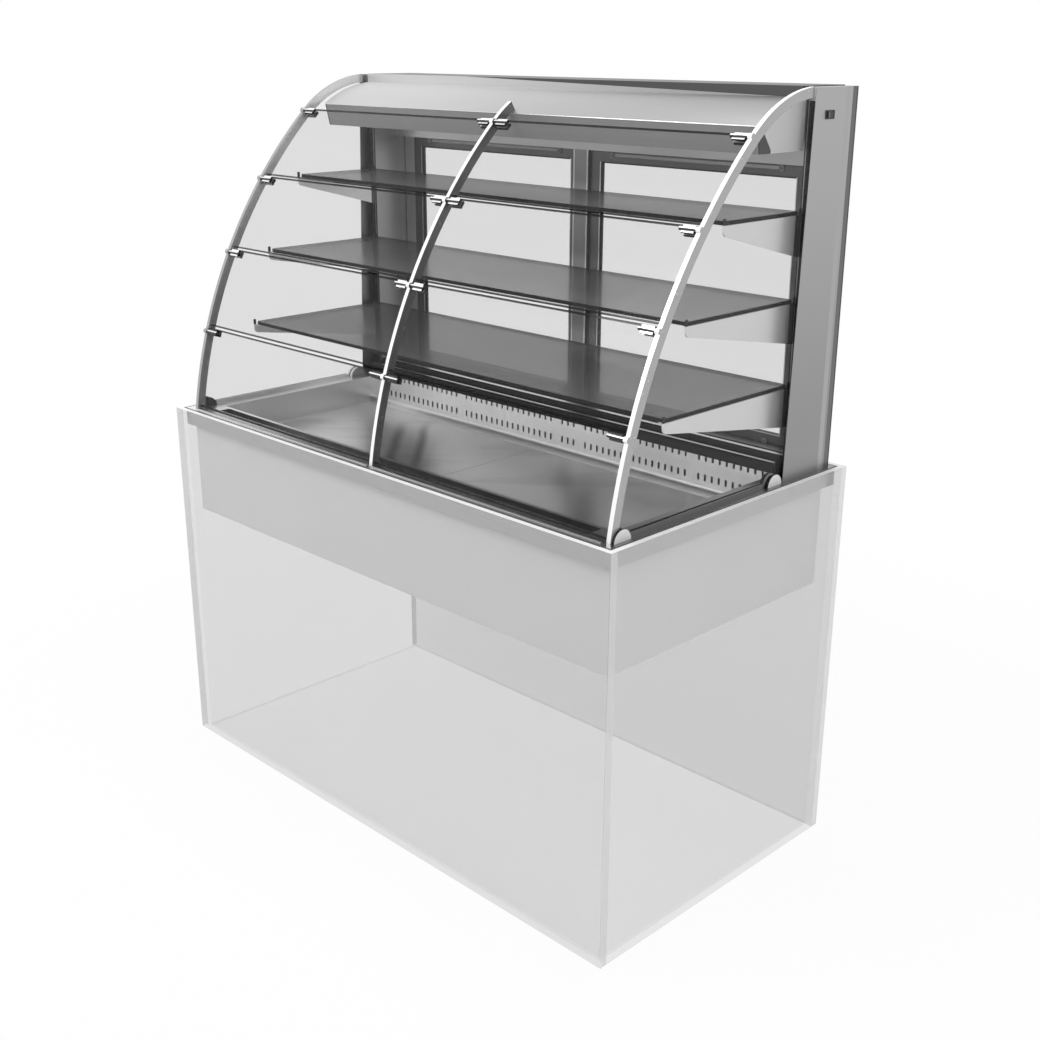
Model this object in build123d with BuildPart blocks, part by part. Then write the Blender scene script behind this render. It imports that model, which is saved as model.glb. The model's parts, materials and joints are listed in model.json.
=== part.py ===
"""Drop-in refrigerated self-service display with a curved front, in its counter.

Millimetres, Z up, front toward -Y, origin at the middle of the rest face.
Every sub-part is its own solid, written to parts/ as its own file.
"""
import os
from math import asin, atan2, cos, pi, radians, sin, sqrt

from build123d import *

# counter that the unit drops into
COUNTER_W = 1466.0
COUNTER_D = 776.0
COUNTER_H = 900.0
BOARD = 18.0
BASE_BOARD = 8.0
HALF_W = COUNTER_W / 2
HALF_D = COUNTER_D / 2
UNIT_HALF_W = HALF_W - BOARD
UNIT_HALF_D = HALF_D - BOARD

# rim frame of the drop-in unit
SHEET = 2.0
RIM_H = 42.0
RECESS_HALF_W = UNIT_HALF_W - 58.0
RECESS_FRONT = -291.0
RECESS_DEPTH = 74.0
LEDGE = 34.0
PLENUM_BACK = 340.0
INTAKE_Y = -313.0
INTAKE_GAP = 26.0
INTAKE_HALF_W = UNIT_HALF_W - 85.0
RIDGE_H = 3.0
RIDGE_W = 5.0
RIDGE_Y = (-362.0, -338.0)
RIDGE_MID_GAP = 8.0
CHANNEL_H = 10.0
CHANNEL_WALL = 2.5
CHANNEL_FRONT = -296.0
CHANNEL_BACK = 126.0

# insulated well
CASING_HALF_W = UNIT_HALF_W - 13.0
CASING_FRONT = -353.0
CASING_BACK = 342.0
CASING_BOTTOM = COUNTER_H - 270.0
SKIN = 1.5
WALL_FOAM = 38.5
FRONT_FOAM = 16.0

# deck plates and air panel
DECK_HALF_W = UNIT_HALF_W - 79.0
DECK_BACK = 162.0
DECK_FRONT_GAP = 4.0
DECK_FOLD = 14.0
SEAM = 1.0
GRILLE_Y = 200.0
GRILLE_TOP = COUNTER_H + 20.0
COVE_R = 14.0
SLOT_W = 6.0
SLOT_H = 16.0
SLOT_PITCH = 19.05
LOWER_SLOT_Z = COUNTER_H - 40.0
UPPER_SLOT_Z = COUNTER_H + 6.0
SLOT_FIRST_X = -632.0
SLOT_GROUPS = (17, 17, 3, 17, 10)
GROUP_GAP = 2

# cooling parts in the well
COIL_HALF_W = 420.0
COIL_FRONT = -150.0
COIL_BACK = 110.0
COIL_H = 110.0
COIL_END = 3.0
FIN_T = 1.2
FIN_COUNT = 36
FIN_LIFT = 12.0
TUBE_R = 5.0
TUBE_ROWS = 3
TUBE_COLS = 5
STUB_L = 60.0
WHEEL_R = 34.0
WHEEL_L = 560.0
WHEEL_DISC = 3.0
BLADE_T = 1.6
BLADE_D = 9.0
BLADES = 18
BLADE_PITCH = 35.0
SHAFT_R = 4.0
BLOWER_Y = 236.0
BLOWER_Z = COUNTER_H - 148.0
HOUSING_T = 2.0
HOUSING_GAP = 9.0
HOUSING_END_GAP = 4.0
FOOT_T = 12.0
MOTOR_R = 30.0
MOTOR_L = 84.0
DRAIN_X = 300.0
DRAIN_Y = -230.0
DRAIN_BORE_R = 13.0
DRAIN_WALL = 3.0
DRAIN_FLANGE_R = 26.0

# columns, sill, header, post
COLUMN_IN = UNIT_HALF_W - 44.0
COLUMN_OUT = UNIT_HALF_W - 12.0
COLUMN_FRONT = 232.0
COLUMN_BACK = 361.0
COLUMN_TOP = COUNTER_H + 794.0
FIN_FRONT_LOW = 188.0
FIN_FRONT_TOP = 212.0
UPRIGHT_T = 1.5
UPRIGHT_INSET = 1.0
UPRIGHT_OUT = UNIT_HALF_W - 15.0
UPRIGHT_LOW = COUNTER_H + 5.0
UPRIGHT_TOP = COUNTER_H + 768.0
UPRIGHT_SLOT_W = 4.0
UPRIGHT_SLOT_H = 14.0
UPRIGHT_SLOT_PITCH = 25.0
SILL_FRONT = 194.0
SILL_LIP_LOW = COUNTER_H + 11.0
SILL_TOP = COUNTER_H + 32.5
SILL_LIP = ((194.0, 30.0), (198.0, 34.0), (206.0, 34.0), (209.0, 30.0))
SILL_BEAD = ((232.0, 26.0), (234.0, 38.0), (238.0, 41.0), (250.0, 41.0), (254.0, 37.0), (256.0, 28.0))
SILL_STEP = ((282.0, 28.0), (284.0, 32.5))
HEADER_FRONT = 300.0
HEADER_LOW = COUNTER_H + 637.0
POST_HALF_W = 24.5
POST_FRONT = 308.0
POST_T = 4.5

# sliding doors
DOOR_SIDE_GAP = 2.0
DOOR_PAST_MIDDLE = 11.0
DOOR_W = COLUMN_IN - DOOR_SIDE_GAP + DOOR_PAST_MIDDLE
DOOR_T = 14.0
DOOR_LOW = COUNTER_H + 37.0
DOOR_TOP = COUNTER_H + 634.0
DOOR_GAP = 4.0
RIGHT_DOOR_Y = 316.0
LEFT_DOOR_Y = RIGHT_DOOR_Y + DOOR_T + DOOR_GAP
STILE = 68.0
BOTTOM_MEMBER = 20.0
TOP_MEMBER = 25.0
DOOR_GLASS = 6.0
GLASS_TUCK = 6.0
TONGUE_T = 4.0
TONGUE_H = 11.0
GROOVE_T = 8.0
GROOVE_DEPTH = 14.0
GLIDE_R = 6.0
GLIDE_BORE_R = 2.5
GLIDE_T = 3.0
GLIDE_LOW_Z = COUNTER_H + 39.0
GLIDE_TOP_Z = COUNTER_H + 628.0
GLIDE_INSET = 104.0

# curved front
RIB_X = UNIT_HALF_W - 21.0
RIB_W = 10.0
RIB_D = 20.0
TOP_ARC_R = 307.0
TOP_ARC_Y = 233.8
TOP_ARC_Z = COUNTER_H + 488.9
LOW_ARC_R = 1232.0
JOIN_DEG = 43.0
CANOPY_LIP_Y = 72.0
MID_RIB_END_Y = 84.0
HOOK_R = 5.0
CANOPY_T = 2.0
CANOPY_TOP = COUNTER_H + 796.0
CANOPY_STEP_Y = 214.0
LAMP_FRONT_LOW_Y = 85.0
LAMP_BOTTOM = COUNTER_H + 673.0
LAMP_BACK = 228.0
LAMP_SKIN = 1.5
END_PLATE_T = 4.0
LAMP_SLOT_FRONT = 118.0
LAMP_SLOT_BACK = 178.0
TUBE_LAMP_R = 8.0
TUBE_LAMP_HALF_L = UNIT_HALF_W - 125.0
TUBE_LAMP_Y = 148.0
TUBE_LAMP_Z = COUNTER_H + 692.0
HOLDER_T = 12.0
HOLDER_W = 24.0

# flaps, from the top row down: height of each hinge line on the outer curve
PIVOT_Z = [COUNTER_H + above for above in (710.0, 551.0, 379.0, 190.0)]
PIN_R = 4.0
PIN_L = 42.0
PIN_IN_RIB = 4.5
PIN_FIT = 0.05
PIN_END_GAP = 0.4
BOSS_WALL = 2.5
BOSS_R = PIN_R + BOSS_WALL
FLAP_GLASS = 5.0
PIN_TO_GLASS = 0.5
FLAP_DROP = PIN_R + PIN_TO_GLASS
FLAP_SIDE_GAP = 3.0
FLAP_ABOVE = 10.0
FLAP_BELOW_GAP = 15.0
FLAP_FOOT_GAP = 3.0
CLAMP_L = 30.0
CLAMP_SIDE_GAP = 7.0
CLAMP_HALF_H = 8.0
CLAMP_INNER = 7.0
STUD_R = 2.8
STUD_HOLE_R = 3.0

# end panes and their clamps
PANE_T = 5.0
PANE_LOW = COUNTER_H + 1.0
PANE_CLEAR = 0.4
CLAMP_R = 24.0
CLAMP_OUT = UNIT_HALF_W - 10.0
CLAMP_IN = UNIT_HALF_W - 32.0
FRONT_CLAMP_Y = -325.0
REAR_CLAMP_Y = 158.0

# shelves, bottom shelf first
SHELF_Z = [COUNTER_H + above for above in (192.0, 370.0, 548.0)]
SHELF_FRONT = (-175.0, -118.0, -16.0)
SHELF_BACK = 226.0
SHELF_T = 8.0
SHELF_END_GAP = 0.5
SHELF_CORNER = 6.0
BRACKET_T = 3.0
BRACKET_FLANGE = 13.0
BRACKET_FLANGE_T = 2.0
BRACKET_FRONT_DROP = 22.0
BRACKET_REAR_DROP = 85.0
NIB_UP = 13.0
NIB_L = 6.0
NIB_AHEAD = 6.5
BRACKET_CORNER = 12.0

# rocker switch
SWITCH_Y = 264.0
SWITCH_Z = COUNTER_H + 742.0
SWITCH_W = 29.0
SWITCH_H = 17.0
BEZEL_T = 2.0
BEZEL_BORDER = 2.0
BODY_DEPTH = 14.0
ROCKER_HALF_W = 11.5
ROCKER_HALF_H = 6.1
ROCKER_TILT = 8.0
ROCKER_PIVOT_IN = 2.0
ROCKER_FACE = 5.0
ROCKER_VALLEY = 3.4
ROCKER_BACK = 4.0
ROCKER_PIN_R = 1.2
ROCKER_PIN_FIT = 0.05
ROCKER_PIN_REACH = 7.2
ROCKER_BORE_REACH = 7.5

# heights and widths that follow from the sizes above
RIM_TOP = COUNTER_H
CASING_TOP = RIM_TOP - RIM_H
LEDGE_Z = RIM_TOP - RECESS_DEPTH
DECK_Z = LEDGE_Z + 2 * SHEET
LINER_HALF_W = CASING_HALF_W - SKIN - WALL_FOAM
LINER_FRONT = CASING_FRONT + SKIN + FRONT_FOAM
LINER_BACK = CASING_BACK - SKIN - WALL_FOAM
LINER_BOTTOM = CASING_BOTTOM + SKIN + WALL_FOAM
LINER_FLOOR = LINER_BOTTOM + SKIN
JOIN_TURN = radians(JOIN_DEG)
LOW_ARC_Y = TOP_ARC_Y + (LOW_ARC_R - TOP_ARC_R) * sin(JOIN_TURN)
LOW_ARC_Z = TOP_ARC_Z - (LOW_ARC_R - TOP_ARC_R) * cos(JOIN_TURN)
INNER_R = LOW_ARC_R - RIB_D
INNER_TOP_R = TOP_ARC_R - RIB_D
GLASS_OUT_R = LOW_ARC_R - FLAP_DROP
GLASS_IN_R = GLASS_OUT_R - FLAP_GLASS
UPRIGHT_FRONT = COLUMN_FRONT - UPRIGHT_T

os.makedirs("parts", exist_ok=True)


def save(part, name):
    """Name a finished sub-part and write its file."""
    part.label = name
    export_step(part, f"parts/{name}.step")


def block(low, high, mode=Mode.ADD):
    """Add or cut a box between two corners."""
    size = [b - a for a, b in zip(low, high)]
    with Locations(tuple((a + b) / 2 for a, b in zip(low, high))):
        Box(size[0], size[1], size[2], mode=mode)


def low_point(radius, z):
    """Point of a circle about the long arc's centre at a height, on its front side."""
    return (LOW_ARC_Y - sqrt(radius**2 - (z - LOW_ARC_Z) ** 2), z)


def low_turn(z):
    """Angle of the long arc's outer curve at a height, up from the horizontal."""
    return asin((z - LOW_ARC_Z) / LOW_ARC_R)


def low_polar(radius, turn):
    """Point at an angle on a circle about the long arc's centre."""
    return (LOW_ARC_Y - radius * cos(turn), LOW_ARC_Z + radius * sin(turn))


def top_point(radius, y):
    """Point of a circle about the short arc's centre at a depth, on its upper side."""
    return (y, TOP_ARC_Z + sqrt(radius**2 - (y - TOP_ARC_Y) ** 2))


def top_polar(radius, turn):
    """Point at an angle forward of straight up on a circle about the short arc's centre."""
    return (TOP_ARC_Y - radius * sin(turn), TOP_ARC_Z + radius * cos(turn))


def band(radius_low, radius_top, foot_z, end_turn):
    """Two tangent arcs from the foot up to an angle on the short arc, as edges."""
    foot = low_point(radius_low, foot_z)
    foot_turn = atan2(foot[1] - LOW_ARC_Z, LOW_ARC_Y - foot[0])
    join_low = pi / 2 - JOIN_TURN
    mid_low = low_polar(radius_low, (foot_turn + join_low) / 2)
    join = low_polar(radius_low, join_low)
    mid_top = top_polar(radius_top, (JOIN_TURN + end_turn) / 2)
    end = top_polar(radius_top, end_turn)
    return foot, mid_low, join, mid_top, end


def sector(turn_a, turn_b, radius_a, radius_b):
    """Face between two radii and two angles about the long arc's centre."""
    middle = (turn_a + turn_b) / 2
    with BuildLine() as outline:
        ThreePointArc(low_polar(radius_b, turn_a), low_polar(radius_b, middle),
                      low_polar(radius_b, turn_b))
        Line(low_polar(radius_b, turn_b), low_polar(radius_a, turn_b))
        ThreePointArc(low_polar(radius_a, turn_b), low_polar(radius_a, middle),
                      low_polar(radius_a, turn_a))
        Line(low_polar(radius_a, turn_a), low_polar(radius_b, turn_a))
    make_face(outline.edges())


def open_box(half_w, front, back, bottom, top, skin):
    """Add an open-topped box of sheet."""
    block((-half_w, front, bottom), (half_w, back, top))
    block((skin - half_w, front + skin, bottom + skin), (half_w - skin, back - skin, top), Mode.SUBTRACT)


def drain_hole(radius, bottom, top):
    """Cut the drain's round hole through a floor."""
    with BuildSketch(Plane.XY.offset(bottom)) as hole:
        with Locations((DRAIN_X, DRAIN_Y)):
            Circle(radius)
    extrude(hole.sketch, amount=top - bottom, mode=Mode.SUBTRACT)


# counter boards
with BuildPart() as counter_front:
    block((-HALF_W, -HALF_D, 0), (HALF_W, BOARD - HALF_D, COUNTER_H))
save(counter_front.part, "counter_front_panel")

with BuildPart() as counter_back:
    block((-HALF_W, HALF_D - BOARD, 0), (HALF_W, HALF_D, COUNTER_H))
save(counter_back.part, "counter_back_panel")

with BuildPart() as counter_sides:
    for side in (-1, 1):
        edges = sorted((side * UNIT_HALF_W, side * HALF_W))
        block((edges[0], -UNIT_HALF_D, 0), (edges[1], UNIT_HALF_D, COUNTER_H))
save(counter_sides.part, "counter_side_panels")

with BuildPart() as counter_base:
    block((-UNIT_HALF_W, -UNIT_HALF_D, 0), (UNIT_HALF_W, UNIT_HALF_D, BASE_BOARD))
save(counter_base.part, "counter_base_board")

# insulated well: outer casing, foam, inner liner
with BuildPart() as casing:
    open_box(CASING_HALF_W, CASING_FRONT, CASING_BACK, CASING_BOTTOM, CASING_TOP, SKIN)
    drain_hole(DRAIN_BORE_R + DRAIN_WALL, CASING_BOTTOM, CASING_BOTTOM + SKIN)
save(casing.part, "well_casing")

with BuildPart() as foam:
    block((SKIN - CASING_HALF_W, CASING_FRONT + SKIN, CASING_BOTTOM + SKIN),
          (CASING_HALF_W - SKIN, CASING_BACK - SKIN, CASING_TOP - SKIN))
    block((-LINER_HALF_W, LINER_FRONT, LINER_BOTTOM),
          (LINER_HALF_W, LINER_BACK, CASING_TOP - SKIN), Mode.SUBTRACT)
    drain_hole(DRAIN_BORE_R + DRAIN_WALL, CASING_BOTTOM + SKIN, LINER_BOTTOM)
save(foam.part, "well_insulation")

with BuildPart() as liner:
    open_box(LINER_HALF_W, LINER_FRONT, LINER_BACK, LINER_BOTTOM, CASING_TOP, SKIN)
    block((SKIN - CASING_HALF_W, CASING_FRONT + SKIN, CASING_TOP - SKIN),
          (CASING_HALF_W - SKIN, CASING_BACK - SKIN, CASING_TOP))
    block((SKIN - LINER_HALF_W, LINER_FRONT + SKIN, CASING_TOP - SKIN),
          (LINER_HALF_W - SKIN, LINER_BACK - SKIN, CASING_TOP), Mode.SUBTRACT)
    drain_hole(DRAIN_BORE_R + DRAIN_WALL, LINER_BOTTOM, LINER_FLOOR)
save(liner.part, "well_liner")

with BuildPart() as drain:
    with BuildSketch(Plane.XY.offset(CASING_BOTTOM)):
        with Locations((DRAIN_X, DRAIN_Y)):
            Circle(DRAIN_BORE_R + DRAIN_WALL)
    extrude(amount=LINER_FLOOR - CASING_BOTTOM)
    with BuildSketch(Plane.XY.offset(LINER_FLOOR)):
        with Locations((DRAIN_X, DRAIN_Y)):
            Circle(DRAIN_FLANGE_R)
    extrude(amount=SHEET)
    drain_hole(DRAIN_BORE_R, CASING_BOTTOM, LINER_FLOOR + SHEET)
save(drain.part, "drain_fitting")

# rim frame: top plate, skirt, bottom flange, recess walls, ledge, glazing channels
with BuildPart() as rim:
    block((-UNIT_HALF_W, -UNIT_HALF_D, CASING_TOP), (UNIT_HALF_W, UNIT_HALF_D, RIM_TOP))
    block((SHEET - UNIT_HALF_W, SHEET - UNIT_HALF_D, CASING_TOP + SHEET),
          (UNIT_HALF_W - SHEET, UNIT_HALF_D - SHEET, RIM_TOP - SHEET), Mode.SUBTRACT)
    block((2 * SKIN - CASING_HALF_W, CASING_FRONT + SKIN + SHEET, CASING_TOP),
          (CASING_HALF_W - 2 * SKIN, CASING_BACK - SKIN - SHEET, CASING_TOP + SHEET), Mode.SUBTRACT)
    block((-RECESS_HALF_W - SHEET, RECESS_FRONT - SHEET, LEDGE_Z),
          (RECESS_HALF_W + SHEET, PLENUM_BACK, RIM_TOP - SHEET))
    block((-RECESS_HALF_W, RECESS_FRONT, LEDGE_Z + SHEET),
          (RECESS_HALF_W, PLENUM_BACK, RIM_TOP), Mode.SUBTRACT)
    block((LEDGE - RECESS_HALF_W, RECESS_FRONT + LEDGE, LEDGE_Z),
          (RECESS_HALF_W - LEDGE, PLENUM_BACK, LEDGE_Z + SHEET), Mode.SUBTRACT)
    block((-RECESS_HALF_W - SHEET, GRILLE_Y + COVE_R, LEDGE_Z),
          (RECESS_HALF_W + SHEET, PLENUM_BACK, RIM_TOP - SHEET), Mode.SUBTRACT)
    block((-INTAKE_HALF_W, INTAKE_Y - INTAKE_GAP / 2, RIM_TOP - SHEET),
          (INTAKE_HALF_W, INTAKE_Y + INTAKE_GAP / 2, RIM_TOP), Mode.SUBTRACT)
    for ridge in RIDGE_Y:
        for side in (-1, 1):
            edges = sorted((side * RIDGE_MID_GAP, side * CLAMP_IN))
            block((edges[0], ridge, RIM_TOP), (edges[1], ridge + RIDGE_W, RIM_TOP + RIDGE_H))
    for side in (-1, 1):
        for start in (PANE_T / 2 + PANE_CLEAR, -PANE_T / 2 - PANE_CLEAR - CHANNEL_WALL):
            edges = sorted((side * RIB_X + start, side * RIB_X + start + CHANNEL_WALL))
            block((edges[0], CHANNEL_FRONT, RIM_TOP), (edges[1], CHANNEL_BACK, RIM_TOP + CHANNEL_H))
save(rim.part, "rim_frame")

# deck plates, resting on the ledge
deck_front = RECESS_FRONT + DECK_FRONT_GAP
for name, side in (("left_deck_plate", -1), ("right_deck_plate", 1)):
    with BuildPart() as deck:
        edges = sorted((side * SEAM / 2, side * DECK_HALF_W))
        block((edges[0], deck_front, LEDGE_Z + SHEET), (edges[1], DECK_BACK, DECK_Z))
        fold = sorted((side * SEAM / 2, side * (SEAM / 2 + SHEET)))
        block((fold[0], deck_front + LEDGE, DECK_Z - DECK_FOLD),
              (fold[1], DECK_BACK - LEDGE, DECK_Z - SHEET))
    save(deck.part, name)

# air panel with two rows of slots, coved into a flange under the deck plates
slot_centres = []
slot_x = SLOT_FIRST_X
for group in SLOT_GROUPS:
    for index in range(group):
        slot_centres.append(slot_x)
        slot_x += SLOT_PITCH
    slot_x += (GROUP_GAP - 1) * SLOT_PITCH
with BuildPart() as grille:
    with BuildSketch(Plane.YZ.offset(-RECESS_HALF_W)):
        with BuildLine():
            Line((DECK_BACK + SEAM, LEDGE_Z + SHEET), (DECK_BACK + SEAM, DECK_Z))
            Line((DECK_BACK + SEAM, DECK_Z), (GRILLE_Y - COVE_R, DECK_Z))
            ThreePointArc((GRILLE_Y - COVE_R, DECK_Z),
                          (GRILLE_Y - COVE_R * (1 - sin(pi / 4)), DECK_Z + COVE_R * (1 - cos(pi / 4))),
                          (GRILLE_Y, DECK_Z + COVE_R))
            Line((GRILLE_Y, DECK_Z + COVE_R), (GRILLE_Y, GRILLE_TOP))
            Line((GRILLE_Y, GRILLE_TOP), (GRILLE_Y + SHEET, GRILLE_TOP))
            Line((GRILLE_Y + SHEET, GRILLE_TOP), (GRILLE_Y + SHEET, LEDGE_Z + SHEET))
            Line((GRILLE_Y + SHEET, LEDGE_Z + SHEET), (DECK_BACK + SEAM, LEDGE_Z + SHEET))
        make_face()
    extrude(amount=2 * RECESS_HALF_W)
    block((LEDGE - RECESS_HALF_W, DECK_BACK - LEDGE, LEDGE_Z),
          (RECESS_HALF_W - LEDGE, GRILLE_Y + SHEET, LEDGE_Z + SHEET))
    for row_z in (LOWER_SLOT_Z, UPPER_SLOT_Z):
        with BuildSketch(Plane.XZ.offset(-GRILLE_Y - SHEET)):
            with Locations(*[(x, row_z) for x in slot_centres]):
                SlotOverall(SLOT_H, SLOT_W, rotation=90)
        extrude(amount=2 * SHEET, mode=Mode.SUBTRACT)
save(grille.part, "air_grille")

# evaporator coil: fins threaded on tubes between two end plates on the liner floor
tube_ys = [COIL_FRONT + (COIL_BACK - COIL_FRONT) * (i + 1) / (TUBE_COLS + 1) for i in range(TUBE_COLS)]
tube_zs = [LINER_FLOOR + FIN_LIFT + (COIL_H - FIN_LIFT) * (i + 1) / (TUBE_ROWS + 1) for i in range(TUBE_ROWS)]
with BuildPart() as coil:
    for side in (-1, 1):
        edges = sorted((side * COIL_HALF_W, side * (COIL_HALF_W - COIL_END)))
        block((edges[0], COIL_FRONT, LINER_FLOOR), (edges[1], COIL_BACK, LINER_FLOOR + COIL_H))
    fin_step = 2 * (COIL_HALF_W - COIL_END) / (FIN_COUNT + 1)
    fin_low = LINER_FLOOR + FIN_LIFT
    fin_mid = ((COIL_FRONT + COIL_BACK) / 2, (fin_low + LINER_FLOOR + COIL_H) / 2)
    with Locations(*[(COIL_END - COIL_HALF_W + fin_step * (i + 1), fin_mid[0], fin_mid[1])
                     for i in range(FIN_COUNT)]):
        Box(FIN_T, COIL_BACK - COIL_FRONT, LINER_FLOOR + COIL_H - fin_low)
    with BuildSketch(Plane.YZ.offset(-COIL_HALF_W)):
        with Locations(*[(y, z) for y in tube_ys for z in tube_zs]):
            Circle(TUBE_R)
    extrude(amount=2 * COIL_HALF_W)
    with BuildSketch(Plane.YZ.offset(COIL_HALF_W)):
        with Locations((tube_ys[0], tube_zs[-1]), (tube_ys[-1], tube_zs[-1])):
            Circle(TUBE_R)
    extrude(amount=STUB_L)
save(coil.part, "evaporator_coil")

# cross-flow blower: drum, housing open to the front and the top, motor
housing_half = WHEEL_R + HOUSING_GAP
housing_half_l = WHEEL_L / 2 + HOUSING_END_GAP
with BuildPart() as wheel:
    for start in (-WHEEL_L / 2, WHEEL_L / 2 - WHEEL_DISC):
        with BuildSketch(Plane.YZ.offset(start)):
            with Locations((BLOWER_Y, BLOWER_Z)):
                Circle(WHEEL_R)
        extrude(amount=WHEEL_DISC)
    with BuildSketch(Plane.YZ.offset(-housing_half_l - HOUSING_T)):
        with Locations((BLOWER_Y, BLOWER_Z)):
            Circle(SHAFT_R)
    extrude(amount=2 * (housing_half_l + HOUSING_T))
    with BuildSketch(Plane.YZ.offset(-WHEEL_L / 2)):
        with Locations((BLOWER_Y, BLOWER_Z)):
            with PolarLocations(WHEEL_R - BLADE_D / 2 - BLADE_T, BLADES):
                Rectangle(BLADE_D, BLADE_T, rotation=BLADE_PITCH)
    extrude(amount=WHEEL_L)
save(wheel.part, "blower_wheel")

with BuildPart() as housing:
    low = BLOWER_Z - housing_half - HOUSING_T
    high = BLOWER_Z + housing_half
    front = BLOWER_Y - housing_half
    back = BLOWER_Y + housing_half + HOUSING_T
    end = housing_half_l + HOUSING_T
    block((-end, front, low), (end, back, high))
    block((-housing_half_l, front, low + HOUSING_T), (housing_half_l, back - HOUSING_T, high), Mode.SUBTRACT)
    for side in (-1, 1):
        foot_x = sorted((side * (end - FOOT_T), side * end))
        block((foot_x[0], front, LINER_FLOOR), (foot_x[1], back, low))
    with BuildSketch(Plane.YZ.offset(-end)):
        with Locations((BLOWER_Y, BLOWER_Z)):
            Circle(SHAFT_R + PIN_FIT)
    extrude(amount=2 * end, mode=Mode.SUBTRACT)
save(housing.part, "blower_housing")

with BuildPart() as motor:
    with BuildSketch(Plane.YZ.offset(housing_half_l + HOUSING_T)):
        with Locations((BLOWER_Y, BLOWER_Z)):
            Circle(MOTOR_R)
    extrude(amount=MOTOR_L)
    with BuildSketch(Plane.YZ.offset(housing_half_l + HOUSING_T)):
        with Locations((BLOWER_Y, BLOWER_Z)):
            Circle(SHAFT_R + HOUSING_T)
    extrude(amount=HOUSING_T, mode=Mode.SUBTRACT)
save(motor.part, "blower_motor")


def column_skin(plane_x, depth, above=0.0, mode=Mode.ADD):
    """Column's outline from the side, tapered at its front edge, as a plate."""
    slope = (FIN_FRONT_TOP - FIN_FRONT_LOW) / (COLUMN_TOP - RIM_TOP)
    top = COLUMN_TOP + above
    with BuildSketch(Plane.YZ.offset(plane_x)) as outline:
        with BuildLine():
            Polyline((FIN_FRONT_LOW, RIM_TOP), (FIN_FRONT_TOP + slope * above, top),
                     (COLUMN_BACK, top), (COLUMN_BACK, RIM_TOP), close=True)
        make_face()
    extrude(outline.sketch, amount=depth, mode=mode)


# columns: a closed sheet box with an outer skin that runs forward as a fin
body_half_y = (SWITCH_W - 2 * BEZEL_BORDER) / 2 + PANE_CLEAR
body_half_z = ROCKER_BORE_REACH + ROCKER_PIN_R / 4
for name, side in (("left_column", -1), ("right_column", 1)):
    with BuildPart() as column:
        outer = sorted((side * COLUMN_OUT, side * (COLUMN_OUT - SKIN)))
        column_skin(outer[0], SKIN)
        shell = sorted((side * COLUMN_IN, side * COLUMN_OUT))
        block((shell[0], COLUMN_FRONT, RIM_TOP), (shell[1], COLUMN_BACK, COLUMN_TOP))
        block((shell[0] + SKIN, COLUMN_FRONT + SKIN, RIM_TOP + SKIN),
              (shell[1] - SKIN, COLUMN_BACK - SKIN, COLUMN_TOP - SKIN), Mode.SUBTRACT)
        if side > 0:
            block((COLUMN_OUT - SKIN, SWITCH_Y - body_half_y, SWITCH_Z - body_half_z),
                  (COLUMN_OUT, SWITCH_Y + body_half_y, SWITCH_Z + body_half_z), Mode.SUBTRACT)
    save(column.part, name)

# slotted shelf uprights on the columns' front faces
upright_rows = int((UPRIGHT_TOP - UPRIGHT_LOW) / UPRIGHT_SLOT_PITCH) - 1
with BuildPart() as uprights:
    for side in (-1, 1):
        edges = sorted((side * (COLUMN_IN + UPRIGHT_INSET), side * UPRIGHT_OUT))
        block((edges[0], UPRIGHT_FRONT, UPRIGHT_LOW), (edges[1], COLUMN_FRONT, UPRIGHT_TOP))
        middle = (edges[0] + edges[1]) / 2
        with BuildSketch(Plane.XZ.offset(-COLUMN_FRONT)):
            with Locations(*[(middle, UPRIGHT_LOW + UPRIGHT_SLOT_PITCH * (i + 1))
                             for i in range(upright_rows)]):
                Rectangle(UPRIGHT_SLOT_W, UPRIGHT_SLOT_H)
        extrude(amount=UPRIGHT_T, mode=Mode.SUBTRACT)
save(uprights.part, "shelf_uprights")

# rear sill: stepped nose over the air panel, flat behind with two door grooves
tongue_ys = [door_y + DOOR_T / 2 for door_y in (RIGHT_DOOR_Y, LEFT_DOOR_Y)]
with BuildPart() as sill:
    with BuildSketch(Plane.YZ.offset(-COLUMN_IN)):
        with BuildLine():
            Polyline((SILL_FRONT, SILL_LIP_LOW),
                     *[(y, RIM_TOP + z) for y, z in SILL_LIP + SILL_BEAD + SILL_STEP],
                     (COLUMN_BACK, SILL_TOP), (COLUMN_BACK, RIM_TOP),
                     (PLENUM_BACK, RIM_TOP), (PLENUM_BACK, SILL_LIP_LOW), (GRILLE_Y + SHEET, SILL_LIP_LOW),
                     (GRILLE_Y + SHEET, GRILLE_TOP), (GRILLE_Y, GRILLE_TOP), (GRILLE_Y, SILL_LIP_LOW),
                     close=True)
        make_face()
    extrude(amount=2 * COLUMN_IN)
    for middle in tongue_ys:
        block((-COLUMN_IN, middle - GROOVE_T / 2, SILL_TOP - GROOVE_DEPTH),
              (COLUMN_IN, middle + GROOVE_T / 2, SILL_TOP), Mode.SUBTRACT)
save(sill.part, "rear_sill")

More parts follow.
